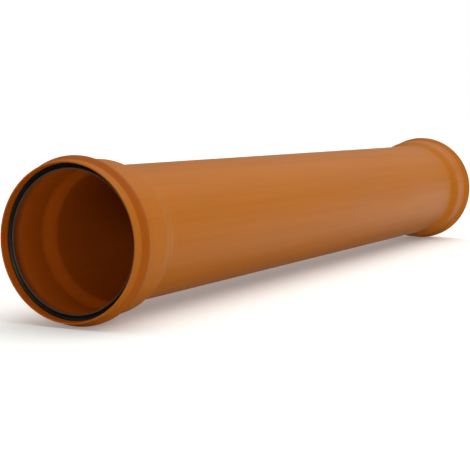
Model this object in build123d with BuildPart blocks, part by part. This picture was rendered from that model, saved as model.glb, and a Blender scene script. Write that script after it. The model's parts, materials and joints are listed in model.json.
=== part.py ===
from build123d import *
import os

# Double socket drainage pipe: one PVC-U barrel, formed at both ends into a ring-seal socket,
# with a rubber ring in the groove of each socket. It lies along Y, centred on the origin.
# Each socket takes the plain end of a pipe of the same diameter as the barrel.
# Depths are measured from a socket's mouth towards the middle of the pipe.

# Barrel
overall_length = 805.0
pipe_diameter = 110.0
pipe_wall = 3.2

# Socket: the seat around the entering pipe, and the shoulder that leads down to the barrel
seat_clearance = 1.5
socket_wall = 4.4
socket_depth = 48.0
shoulder_length = 12.4
shoulder_round = 14.0

# Bead: the raised ring around the socket that holds the seal
bead_height = 3.8
bead_centre = 13.6
bead_crest_width = 2.6
bead_rear_run = 5.6
bead_round = 3.0
bead_foot_round = 5.0

# Lip in front of the bead
mouth_flare = 3.2
rim_thickness = 1.2
rim_chamfer = 0.4
lip_length = 7.4
lip_rise = 0.6

# Groove inside the bead
throat_depth = 6.4
throat_closing = 0.4
groove_wall = 3.7
groove_width = 3.0
groove_rear_run = 5.2

# Seal ring: a wedge that fills the front of the groove, from a rib at its front edge to a thin heel
seal_clearance = 0.25
seal_setback = 1.6
seal_heel = 1.35

# Lip of the seal ring: parted from the rib by a recess, with a land that grips the entering pipe
grip_bite = 0.4
grip_setback = 1.2
grip_length = 1.2
seal_lip_thickness = 1.3
seal_lip_lead = 0.2
recess_depth = 1.2
recess_rise = 1.4

# Radii
pipe_radius = pipe_diameter / 2
pipe_bore = pipe_radius - pipe_wall
seat_radius = pipe_radius + seat_clearance
body_radius = seat_radius + socket_wall
crest_radius = body_radius + bead_height
mouth_radius = seat_radius + mouth_flare
rim_radius = mouth_radius + rim_thickness
throat_radius = mouth_radius - throat_closing
groove_radius = crest_radius - groove_wall
seal_radius = groove_radius - seal_clearance
heel_radius = seal_radius - seal_heel
grip_radius = pipe_radius - grip_bite
seal_lip_radius = grip_radius + seal_lip_thickness
recess_radius = seal_lip_radius + recess_rise

# Depths
half_length = overall_length / 2
shoulder_end = socket_depth + shoulder_length
crest_front = bead_centre - bead_crest_width / 2
crest_rear = bead_centre + bead_crest_width / 2
groove_front = bead_centre - groove_width / 2
groove_rear = bead_centre + groove_width / 2
seat_start = groove_rear + groove_rear_run
seal_front = throat_depth + seal_setback
grip_front = throat_depth + grip_setback
grip_rear = grip_front + grip_length

# Slope of the groove's front wall, and the ring's front radius that follows it
front_slope = (groove_radius - throat_radius) / (groove_front - throat_depth)
rib_radius = seal_radius - front_slope * (groove_front - seal_front)


def section_point(depth, radius):
    """A point of the section at a depth behind the mouth and a radius from the axis."""
    return (half_length - depth, radius)


# Barrel and sockets: half of the wall's section, mirrored and turned about the pipe's axis
with BuildPart() as pipe:
    with BuildSketch(Plane.YZ):
        with BuildLine():
            outside = FilletPolyline(
                (0, pipe_radius),
                section_point(shoulder_end, pipe_radius),
                section_point(socket_depth, body_radius),
                section_point(crest_rear + bead_rear_run, body_radius),
                section_point(crest_rear, crest_radius),
                section_point(crest_front, crest_radius),
                section_point(lip_length, rim_radius + lip_rise),
                radius=[shoulder_round, shoulder_round, bead_foot_round, bead_round, bead_round],
            )
            Polyline(
                outside @ 1,
                section_point(rim_chamfer, rim_radius),
                section_point(0, rim_radius - rim_chamfer),
                section_point(0, mouth_radius + rim_chamfer),
                section_point(rim_chamfer, mouth_radius),
                section_point(throat_depth, throat_radius),
                section_point(groove_front, groove_radius),
                section_point(groove_rear, groove_radius),
                section_point(seat_start, seat_radius),
                section_point(socket_depth, seat_radius),
                section_point(shoulder_end, pipe_bore),
                (0, pipe_bore),
            )
            mirror(about=Plane.YZ)
        make_face()
    revolve(axis=Axis.Y)

# Seal ring of the back socket, a little clear of the groove's walls
with BuildPart() as seal_ring_back:
    with BuildSketch(Plane.YZ):
        with BuildLine():
            Polyline(
                section_point(seal_front, rib_radius),
                section_point(groove_front, seal_radius),
                section_point(groove_rear, seal_radius),
                section_point(groove_rear, heel_radius),
                section_point(grip_rear, grip_radius),
                section_point(grip_front, grip_radius),
                section_point(grip_front - seal_lip_lead, seal_lip_radius),
                section_point(seal_front + recess_depth, recess_radius),
                close=True,
            )
        make_face()
    revolve(axis=Axis.Y)

# Seal ring of the front socket: the same ring, the other way round
with BuildPart() as seal_ring_front:
    add(mirror(seal_ring_back.part, about=Plane.XZ, mode=Mode.PRIVATE))

os.makedirs("parts", exist_ok=True)

pipe.part.label = "pipe"
export_step(pipe.part, "parts/pipe.step")

seal_ring_front.part.label = "seal_ring_front"
export_step(seal_ring_front.part, "parts/seal_ring_front.step")

seal_ring_back.part.label = "seal_ring_back"
export_step(seal_ring_back.part, "parts/seal_ring_back.step")
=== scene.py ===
import json
import math

import bmesh
import bpy
from mathutils import Matrix, Vector


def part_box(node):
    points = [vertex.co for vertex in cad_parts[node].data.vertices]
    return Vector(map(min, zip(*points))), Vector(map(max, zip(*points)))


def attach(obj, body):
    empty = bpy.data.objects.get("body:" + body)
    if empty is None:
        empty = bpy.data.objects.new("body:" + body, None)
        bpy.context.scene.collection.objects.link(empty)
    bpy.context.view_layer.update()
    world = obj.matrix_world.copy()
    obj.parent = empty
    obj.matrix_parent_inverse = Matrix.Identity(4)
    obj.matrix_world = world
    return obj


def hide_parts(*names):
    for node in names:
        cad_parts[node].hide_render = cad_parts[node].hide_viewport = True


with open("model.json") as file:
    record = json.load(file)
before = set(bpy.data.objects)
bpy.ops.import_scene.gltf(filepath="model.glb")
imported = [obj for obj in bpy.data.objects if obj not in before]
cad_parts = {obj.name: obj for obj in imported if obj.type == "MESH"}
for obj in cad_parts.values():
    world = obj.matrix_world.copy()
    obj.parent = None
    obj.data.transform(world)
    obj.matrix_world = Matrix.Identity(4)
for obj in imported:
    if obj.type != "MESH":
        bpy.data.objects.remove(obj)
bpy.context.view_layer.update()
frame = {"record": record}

# Double socket drainage pipe, lying along Y with the near mouth at -Y. Lengths are in metres.
# Depths are measured from a socket's mouth towards the middle of the pipe.

# Sizes taken from the frame
pipe_low, pipe_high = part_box("pipe")
mounts = {mount["name"]: mount for mount in frame["record"]["mounts"]}
millimetre = 0.001
half_length = (pipe_high.y - pipe_low.y) / 2
floor_height = pipe_low.z
crest_radius = -floor_height
barrel_radius = mounts["barrel"]["dims"]["r_mm"] * millimetre
grip_radius = mounts["socket_front"]["dims"]["r_mm"] * millimetre

# Barrel and socket: the seat around the entering pipe, and the shoulder that leads down to the barrel
pipe_wall = 0.0032
seat_clearance = 0.0015
socket_wall = 0.0044
socket_depth = 0.048
shoulder_length = 0.0124
shoulder_round = 0.018
inner_shoulder_round = 0.014

# Bead: the raised ring around the socket that holds the seal
bead_centre = 0.0136
bead_crest_width = 0.0026
bead_rear_run = 0.0056
bead_round = 0.003
bead_foot_round = 0.005

# Lip in front of the bead
mouth_flare = 0.0032
rim_thickness = 0.0012
rim_round = 0.00055
lip_length = 0.0074
lip_rise = 0.0006
lip_round = 0.0025

# Groove inside the bead
throat_depth = 0.0064
throat_closing = 0.0004
throat_round = 0.0012
groove_radius = 0.0610
groove_width = 0.0030
groove_rear_run = 0.0052
groove_round = 0.0015
seat_round = 0.0016

# Seal ring: a wedge that fills the front of the groove, from a rib at its front edge to a thin heel
seal_clearance = 0.00025
seal_setback = 0.0016
seal_heel = 0.00135
seal_round = 0.0004
rib_width = 0.0006
rib_round = 0.00025

# Lip of the seal ring: parted from the rib by a recess, with a land that grips the entering pipe
grip_setback = 0.0012
grip_length = 0.0012
seal_lip_thickness = 0.0013
seal_lip_lead = 0.0002
recess_depth = 0.0012
recess_rise = 0.0014
recess_round = 0.0006

# Radii that follow
bore_radius = barrel_radius - pipe_wall
seat_radius = barrel_radius + seat_clearance
body_radius = seat_radius + socket_wall
mouth_radius = seat_radius + mouth_flare
rim_radius = mouth_radius + rim_thickness
throat_radius = mouth_radius - throat_closing
seal_radius = groove_radius - seal_clearance

# Depths that follow
shoulder_end = socket_depth + shoulder_length
crest_front = bead_centre - bead_crest_width / 2
crest_rear = bead_centre + bead_crest_width / 2
bead_end = crest_rear + bead_rear_run
groove_front = bead_centre - groove_width / 2
groove_rear = bead_centre + groove_width / 2
seat_start = groove_rear + groove_rear_run
seal_front = throat_depth + seal_setback
grip_front = throat_depth + grip_setback
grip_rear = grip_front + grip_length

# Slope of the groove's front wall, which the ring's front follows
front_slope = (groove_radius - throat_radius) / (groove_front - throat_depth)

# Fineness of the turned meshes
segments = 192
arc_step = math.radians(7.5)
least_arc_steps = 3
least_turn = math.radians(0.5)
longest_run = 0.030
edge_hold = 0.00015
shortest_run = 4 * edge_hold

# Colours of the PVC: the darker and lighter streaks outside and inside, and the places that differ
outside_dark = (0.340, 0.098, 0.0040, 1.0)
outside_light = (0.378, 0.113, 0.0060, 1.0)
# Inside: a redder copy of the outside streak colours, painted shade
inside_shaded_dark = (0.350, 0.068, 0.0020, 1.0)
inside_shaded_light = (0.380, 0.076, 0.0028, 1.0)
# Painted shade: the bead's front face is darker, as in the valley before the bead, and the lip takes a
# share
bead_face_shade_colour = (0.288, 0.068, 0.0026, 1.0)
# Painted shade: the groove inside the bead, and more faintly the throat, are darker, as in a recess
groove_shade_colour = (0.235, 0.042, 0.0010, 1.0)
forming_ring_colour = (0.450, 0.160, 0.0200, 1.0)

# Where those places are: each begins and ends gradually, between two depths. The bead's front face and the
# groove get painted shade. The lip has a share of the bead face's painted shade, and the throat inside it a
# share of the groove's.
bead_face_shade_start = (0.0068, 0.0082)
bead_face_shade_end = (0.0140, 0.0165)
lip_shade_share = 0.3
groove_shade_start = (0.0110, 0.0150)
groove_shade_end = (0.0195, 0.0215)
throat_shade_end = (0.0055, 0.0075)
throat_shade_share = 0.15

# Forming rings behind the shoulder: fine ridges with pale crests
forming_start = (0.054, 0.059)
forming_end = (0.066, 0.074)
forming_pitch = 0.0042
forming_crest = (0.3, 1.0)
forming_crest_share = 0.22

# Streaks, clouds and grain of the PVC. Clouds and streaks are drawn out along the pipe.
streak_stretch = (1.0, 0.02, 1.0)
streak_scale = 190.0
streak_share = 0.6
cloud_stretch = (1.0, 0.35, 1.0)
cloud_scale = 16.0
cloud_share = 0.4
tint_range = (0.32, 0.68)
pvc_grain_scale = 2600.0

# Surface of the PVC: shares of the relief, its height, and the gloss
streak_relief_share = 0.5
grain_relief_share = 0.22
forming_relief_share = 0.10
pvc_bump_strength = 0.35
pvc_bump_height = 0.00012
pvc_roughness = (0.36, 0.43)
grain_roughness = (-0.03, 0.03)
inside_extra_roughness = 0.24
pvc_specular = 0.068

# Rubber, with a paler edge at the land of its lip: partly dust, partly a painted sheen
rubber_dark = (0.005, 0.005, 0.005, 1.0)
rubber_light = (0.010, 0.010, 0.0095, 1.0)
rubber_cloud_scale = 60.0
rubber_grain_scale = 3200.0
rubber_bump_strength = 0.3
rubber_bump_height = 0.00008
rubber_roughness = (0.34, 0.46)
rubber_specular = 0.2
dust_and_sheen_colour = (0.120, 0.090, 0.060, 1.0)
dust_and_sheen_width = 0.0012
dust_and_sheen_share = 0.5

# Shared by the materials: the middle range of a noise, the range in which inside turns to outside,
# and the part of a place that lies across the pipe
noise_range = (0.3, 0.7)
side_range = (-0.2, 0.2)
crosswise = (1.0, 0.0, 1.0)

# Floor and backdrop
white = (1.0, 1.0, 1.0, 1.0)
floor_size = 60.0
floor_colour = (0.83, 0.86, 0.95, 1.0)
floor_roughness = 0.9
floor_glow = 0.17
backdrop_segments = 64
backdrop_glow = 1.0

# Light: each patch of the dome has a way towards its middle, the cosine of the angle at its edge,
# and a strength. Below the horizon the dome fades to a share of its strength.
light_colour = (1.0, 0.97, 0.84, 1.0)
overhead_patch = ((0.28, 0.30, 0.91), 0.50, 1.74)
mouth_patch = ((0.34, -0.91, 0.23), 0.97, 9.8)
left_patch = ((-0.95, -0.05, 0.30), 0.50, 0.6)
right_patch = ((0.78, 0.63, 0.0), -1.0, 0.68)
floor_patch = ((0.40, 0.89, -0.22), 0.90, 1.15)
dome_strength = 0.06
horizon_range = (-0.6, 0.0)
ground_share = 0.1

# Camera: the place of the near mouth's centre in the photo's frame, and its distance along the view
image_size = 470
sensor_size = 36.0
focal_pixels = 1236.4
mouth_pixel = Vector((65.74, 242.945))
mouth_distance = 0.9153
azimuth = math.radians(27.705)
elevation = math.radians(5.548)


def rounded_corner(before, corner, after, radius):
    """Points of the arc that rounds a corner, or the corner itself where it has no radius."""
    run_in = before - corner
    run_out = after - corner
    turn = math.pi - run_in.angle(run_out)
    if radius == 0 or turn < least_turn:
        return [corner]
    tangent = radius * math.tan(turn / 2)
    start = corner + run_in.normalized() * tangent
    centre_way = (run_in.normalized() + run_out.normalized()).normalized()
    centre = corner + centre_way * (radius / math.cos(turn / 2))
    sign = 1 if run_in.x * run_out.y - run_in.y * run_out.x < 0 else -1
    steps = max(least_arc_steps, math.ceil(turn / arc_step))
    spoke = start - centre
    return [centre + Matrix.Rotation(sign * turn * step / steps, 2) @ spoke for step in range(steps + 1)]


def divided_run(start, end):
    """Points between two ends of a straight run: one close to each end, the rest evenly spaced."""
    run = end - start
    if run.length < shortest_run:
        return []
    along = run.normalized()
    first = start + along * edge_hold
    last = end - along * edge_hold
    steps = max(1, math.ceil((last - first).length / longest_run))
    return [first.lerp(last, step / steps) for step in range(steps + 1)]


def outline(corners, closed):
    """Section points (depth, radius) through corners given as (depth, radius, round)."""
    places = [Vector(corner[:2]) for corner in corners]
    rounds = [corner[2] for corner in corners]
    count = len(places)
    arcs = []
    for index, place in enumerate(places):
        at_end = not closed and index in (0, count - 1)
        before, after = places[index - 1], places[(index + 1) % count]
        arcs.append([place] if at_end else rounded_corner(before, place, after, rounds[index]))
    points = []
    for index, arc in enumerate(arcs):
        points += arc
        if closed or index < count - 1:
            points += divided_run(arc[-1], arcs[(index + 1) % count][0])
    return points


def lathe(name, section):
    """A closed mesh: a closed section of (y, radius) points turned about the Y axis."""
    count = len(section)
    verts = []
    for segment in range(segments):
        angle = 2 * math.pi * segment / segments
        verts += [(radius * math.sin(angle), y, radius * math.cos(angle)) for y, radius in section]
    faces = []
    for segment in range(segments):
        here = segment * count
        there = (segment + 1) % segments * count
        for point in range(count):
            onward = (point + 1) % count
            faces.append((here + point, here + onward, there + onward, there + point))
    mesh = bpy.data.meshes.new(name)
    mesh.from_pydata(verts, [], faces)
    mesh.shade_smooth()
    piece = bpy.data.objects.new(name, mesh)
    bpy.context.scene.collection.objects.link(piece)
    return piece


def front(points):
    """Section points of the near end as (y, radius)."""
    return [(point.x - half_length, point.y) for point in points]


def back(points):
    """The same points at the far end, in the same turning direction."""
    return [(half_length - point.x, point.y) for point in reversed(points)]


def make_pipe():
    """Barrel with a socket formed at each end."""
    half = outline(
        [
            (half_length, barrel_radius, 0),
            (shoulder_end, barrel_radius, shoulder_round),
            (socket_depth, body_radius, shoulder_round),
            (bead_end, body_radius, bead_foot_round),
            (crest_rear, crest_radius, bead_round),
            (crest_front, crest_radius, bead_round),
            (lip_length, rim_radius + lip_rise, lip_round),
            (0, rim_radius, rim_round),
            (0, mouth_radius, rim_round),
            (throat_depth, throat_radius, throat_round),
            (groove_front, groove_radius, groove_round),
            (groove_rear, groove_radius, groove_round),
            (seat_start, seat_radius, seat_round),
            (socket_depth, seat_radius, inner_shoulder_round),
            (shoulder_end, bore_radius, inner_shoulder_round),
            (half_length, bore_radius, 0),
        ],
        closed=False,
    )
    return lathe("pipe_wall", front(half) + back(half)[1:-1])


def seal_section():
    """Section of a seal ring, seated in its groove: the rib, the heel, then the lip inside the recess."""
    rib_radius = seal_radius - front_slope * (groove_front - seal_front)
    lip_radius = grip_radius + seal_lip_thickness
    return outline(
        [
            (seal_front, rib_radius, rib_round),
            (groove_front, seal_radius, seal_round),
            (groove_rear, seal_radius, seal_round),
            (groove_rear, seal_radius - seal_heel, seal_round),
            (grip_rear, grip_radius, seal_round),
            (grip_front, grip_radius, seal_round),
            (grip_front - seal_lip_lead, lip_radius, seal_round),
            (seal_front + recess_depth, lip_radius + recess_rise, recess_round),
            (seal_front, rib_radius - rib_width, rib_round),
        ],
        closed=True,
    )


class Nodes:
    """Short calls for building a node tree."""

    def __init__(self, tree):
        self.tree = tree
        tree.nodes.clear()

    def put(self, socket, value):
        """Gives an input a link or a value of its own."""
        if isinstance(value, bpy.types.NodeSocket):
            self.tree.links.new(value, socket)
        else:
            socket.default_value = value

    def add(self, kind, inputs=None, **settings):
        node = self.tree.nodes.new(kind)
        for name, value in settings.items():
            setattr(node, name, value)
        for name, value in (inputs or {}).items():
            self.put(node.inputs[name], value)
        return node

    def math(self, operation, first, second=0.0):
        node = self.add("ShaderNodeMath", {0: first, 1: second}, operation=operation)
        return node.outputs[0]

    def total(self, *values):
        result = values[0]
        for value in values[1:]:
            result = self.math("ADD", result, value)
        return result

    def ramp(self, value, low, high, to_low=0.0, to_high=1.0):
        """A smooth step, from to_low where the value is low to to_high where it is high."""
        inputs = {"Value": value, "From Min": low, "From Max": high, "To Min": to_low, "To Max": to_high}
        return self.add("ShaderNodeMapRange", inputs, interpolation_type="SMOOTHSTEP").outputs[0]

    def band(self, value, start, end, base=0.0):
        """Rises from a base to 1 over the start's range, and falls to 0 over the end's."""
        rise = self.ramp(value, *start, base, 1.0)
        fall = self.ramp(value, *end, 1.0, 0.0)
        return self.math("MULTIPLY", rise, fall)

    def noise(self, vector, scale, detail=2.0, roughness=0.5):
        inputs = {"Vector": vector, "Scale": scale, "Detail": detail, "Roughness": roughness}
        return self.add("ShaderNodeTexNoise", inputs).outputs["Fac"]

    def facing(self, direction, way):
        node = self.add("ShaderNodeVectorMath", {0: direction, 1: way}, operation="DOT_PRODUCT")
        return node.outputs["Value"]

    def stretched(self, vector, scale):
        node = self.add("ShaderNodeVectorMath", {0: vector, 1: scale}, operation="MULTIPLY")
        return node.outputs[0]

    def mix(self, factor, first, second):
        node = self.add("ShaderNodeMix", data_type="RGBA")
        for name, value in (("Factor_Float", factor), ("A_Color", first), ("B_Color", second)):
            self.put(next(socket for socket in node.inputs if socket.identifier == name), value)
        return next(socket for socket in node.outputs if socket.identifier == "Result_Color")

    def surface(self, inputs):
        """The material's surface, with these inputs."""
        shader = self.add("ShaderNodeBsdfPrincipled", inputs)
        self.add("ShaderNodeOutputMaterial", {"Surface": shader.outputs[0]})


def new_material(name):
    """A material and its empty node tree."""
    material = bpy.data.materials.new(name)
    material.use_nodes = True
    return material, Nodes(material.node_tree)


def pvc_colour(nodes, tint, depth, rings, outside):
    """Outside: painted shade on the bead face and lip, pale on the forming rings. Inside: redder as painted
    shade, and painted shade in the groove.
    """
    # Painted shade on the bead's front face, with a share of it on the lip
    bead_face = nodes.band(depth, bead_face_shade_start, bead_face_shade_end, lip_shade_share)
    ring_crests = nodes.ramp(rings, *forming_crest, 0.0, forming_crest_share)
    outer = nodes.mix(tint, outside_dark, outside_light)
    outer = nodes.mix(bead_face, outer, bead_face_shade_colour)
    outer = nodes.mix(ring_crests, outer, forming_ring_colour)

    # Painted shade in the groove, and a fainter share of it in the throat
    groove = nodes.band(depth, groove_shade_start, groove_shade_end)
    throat = nodes.ramp(depth, *throat_shade_end, throat_shade_share, 0.0)
    # The inside colour is a redder copy of the streaks, painted shade
    inner = nodes.mix(tint, inside_shaded_dark, inside_shaded_light)
    inner = nodes.mix(nodes.total(groove, throat), inner, groove_shade_colour)
    return nodes.mix(outside, inner, outer)


def pvc_material():
    """Satin golden-brown PVC-U: draw streaks along the pipe, fine grain, forming rings at the shoulders."""
    material, nodes = new_material("pvc")
    place = nodes.add("ShaderNodeTexCoord").outputs["Object"]
    streaks = nodes.noise(nodes.stretched(place, streak_stretch), streak_scale, detail=3.0, roughness=0.6)
    clouds = nodes.noise(nodes.stretched(place, cloud_stretch), cloud_scale)
    grain = nodes.noise(place, pvc_grain_scale)

    along = nodes.add("ShaderNodeSeparateXYZ", {0: place}).outputs["Y"]
    depth = nodes.math("SUBTRACT", half_length, nodes.math("ABSOLUTE", along))
    across = nodes.stretched(place, crosswise)
    outward = nodes.add("ShaderNodeVectorMath", {0: across}, operation="NORMALIZE").outputs[0]
    normal = nodes.add("ShaderNodeNewGeometry").outputs["Normal"]
    outside = nodes.ramp(nodes.facing(normal, outward), *side_range)

    ridges = nodes.math("SINE", nodes.math("MULTIPLY", depth, 2 * math.pi / forming_pitch))
    rings = nodes.math("MULTIPLY", ridges, nodes.band(depth, forming_start, forming_end))
    tint = nodes.total(
        nodes.math("MULTIPLY", streaks, streak_share),
        nodes.math("MULTIPLY", clouds, cloud_share),
    )
    relief = nodes.total(
        nodes.math("MULTIPLY", streaks, streak_relief_share),
        nodes.math("MULTIPLY", grain, grain_relief_share),
        nodes.math("MULTIPLY", rings, forming_relief_share),
    )
    bump = nodes.add(
        "ShaderNodeBump",
        {"Strength": pvc_bump_strength, "Distance": pvc_bump_height, "Height": relief},
    )
    rough = nodes.total(
        nodes.ramp(clouds, *noise_range, *pvc_roughness),
        nodes.ramp(grain, *noise_range, *grain_roughness),
        nodes.ramp(outside, 0.0, 1.0, inside_extra_roughness, 0.0),
    )
    nodes.surface(
        {
            "Base Color": pvc_colour(nodes, nodes.ramp(tint, *tint_range), depth, rings, outside),
            "Roughness": rough,
            "Specular IOR Level": pvc_specular,
            "Normal": bump.outputs[0],
        }
    )
    return material


def rubber_material():
    """Black rubber: a soft gloss, dulled in patches, with fine grain and a paler edge, partly dust and
    partly painted sheen.
    """
    material, nodes = new_material("seal_rubber")
    place = nodes.add("ShaderNodeTexCoord").outputs["Object"]
    clouds = nodes.noise(place, rubber_cloud_scale, detail=3.0)
    grain = nodes.noise(place, rubber_grain_scale)
    across = nodes.stretched(place, crosswise)
    radius = nodes.add("ShaderNodeVectorMath", {0: across}, operation="LENGTH").outputs["Value"]
    # Paler edge at the land of the lip: partly dust, partly a painted sheen
    dust_and_sheen = nodes.ramp(radius, grip_radius, grip_radius + dust_and_sheen_width, dust_and_sheen_share, 0.0)
    colour = nodes.mix(nodes.ramp(clouds, *noise_range), rubber_dark, rubber_light)
    bump = nodes.add(
        "ShaderNodeBump",
        {"Strength": rubber_bump_strength, "Distance": rubber_bump_height, "Height": grain},
    )
    nodes.surface(
        {
            "Base Color": nodes.mix(dust_and_sheen, colour, dust_and_sheen_colour),
            "Roughness": nodes.ramp(clouds, *noise_range, *rubber_roughness),
            "Specular IOR Level": rubber_specular,
            "Normal": bump.outputs[0],
        }
    )
    return material


def floor_material():
    """Matt white that glows faintly by itself."""
    material, nodes = new_material("studio_floor")
    nodes.surface(
        {
            "Base Color": floor_colour,
            "Roughness": floor_roughness,
            "Specular IOR Level": 0.0,
            "Emission Color": white,
            "Emission Strength": floor_glow,
        }
    )
    return material


def backdrop_material():
    """Plain white that glows by itself."""
    material, nodes = new_material("studio_backdrop")
    glow = nodes.add("ShaderNodeEmission", {"Color": white, "Strength": backdrop_glow})
    nodes.add("ShaderNodeOutputMaterial", {"Surface": glow.outputs[0]})
    return material


def studio_world():
    """Soft light from a dome, strongest overhead and in front of the near mouth, dim below the horizon."""
    world = bpy.data.worlds.new("studio")
    world.use_nodes = True
    sky = Nodes(world.node_tree)
    direction = sky.add("ShaderNodeTexCoord").outputs["Generated"]

    def patch(way, edge, strength, base=0.0):
        return sky.ramp(sky.facing(direction, Vector(way).normalized()), edge, 1.0, base, strength)

    above_ground = sky.ramp(sky.facing(direction, Vector((0, 0, 1))), *horizon_range, ground_share, 1.0)
    dome = sky.total(
        patch(*mouth_patch), patch(*left_patch), patch(*right_patch, dome_strength), patch(*overhead_patch)
    )
    strength = sky.total(sky.math("MULTIPLY", dome, above_ground), patch(*floor_patch))
    background = sky.add("ShaderNodeBackground", {"Color": light_colour, "Strength": strength})
    sky.add("ShaderNodeOutputWorld", {"Surface": background.outputs[0]})
    return world


# Pieces
pipe = make_pipe()
pipe.data.materials.append(pvc_material())
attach(pipe, "root")
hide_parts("pipe")

rubber = rubber_material()
ring_section = seal_section()
for node, section in (("seal_ring_front", front(ring_section)), ("seal_ring_back", back(ring_section))):
    ring = lathe(node + "_rubber", section)
    ring.data.materials.append(rubber)
    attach(ring, "root")
    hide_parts(node)

# Floor, left out of reflections
floor_reach = floor_size / 2
floor_corners = [(x * floor_reach, y * floor_reach, 0) for x, y in ((-1, -1), (1, -1), (1, 1), (-1, 1))]
floor_mesh = bpy.data.meshes.new("floor")
floor_mesh.from_pydata(floor_corners, [], [(0, 1, 2, 3)])
floor_mesh.materials.append(floor_material())
floor = bpy.data.objects.new("floor", floor_mesh)
floor.location.z = floor_height
floor.visible_glossy = False
bpy.context.scene.collection.objects.link(floor)

# Backdrop: a white dome around the floor, seen by the camera but giving no light
backdrop_mesh = bpy.data.meshes.new("backdrop")
backdrop_form = bmesh.new()
bmesh.ops.create_uvsphere(
    backdrop_form, u_segments=backdrop_segments, v_segments=backdrop_segments // 2, radius=floor_reach
)
backdrop_form.to_mesh(backdrop_mesh)
backdrop_form.free()
backdrop_mesh.materials.append(backdrop_material())
backdrop = bpy.data.objects.new("backdrop", backdrop_mesh)
backdrop.visible_diffuse = False
backdrop.visible_glossy = False
backdrop.visible_transmission = False
backdrop.visible_volume_scatter = False
backdrop.visible_shadow = False
bpy.context.scene.collection.objects.link(backdrop)

# Light
bpy.context.scene.world = studio_world()

# Camera: turned by its azimuth and elevation, and placed so that the near mouth's centre falls on its pixel
level = math.cos(elevation)
ahead = Vector((-math.sin(azimuth) * level, math.cos(azimuth) * level, -math.sin(elevation)))
right = Vector((math.cos(azimuth), math.sin(azimuth), 0))
upward = right.cross(ahead)
aside = (mouth_pixel - Vector((image_size / 2, image_size / 2))) * mouth_distance / focal_pixels
mouth_centre = Vector((0, -half_length, 0))
camera_data = bpy.data.cameras.new("camera")
camera_data.sensor_width = sensor_size
camera_data.lens = sensor_size * focal_pixels / image_size
camera = bpy.data.objects.new("camera", camera_data)
camera.rotation_euler = Matrix((right, upward, -ahead)).transposed().to_euler()
camera.location = mouth_centre - right * aside.x + upward * aside.y - ahead * mouth_distance
bpy.context.scene.collection.objects.link(camera)
bpy.context.scene.camera = camera
bpy.context.scene.view_settings.view_transform = "Standard"
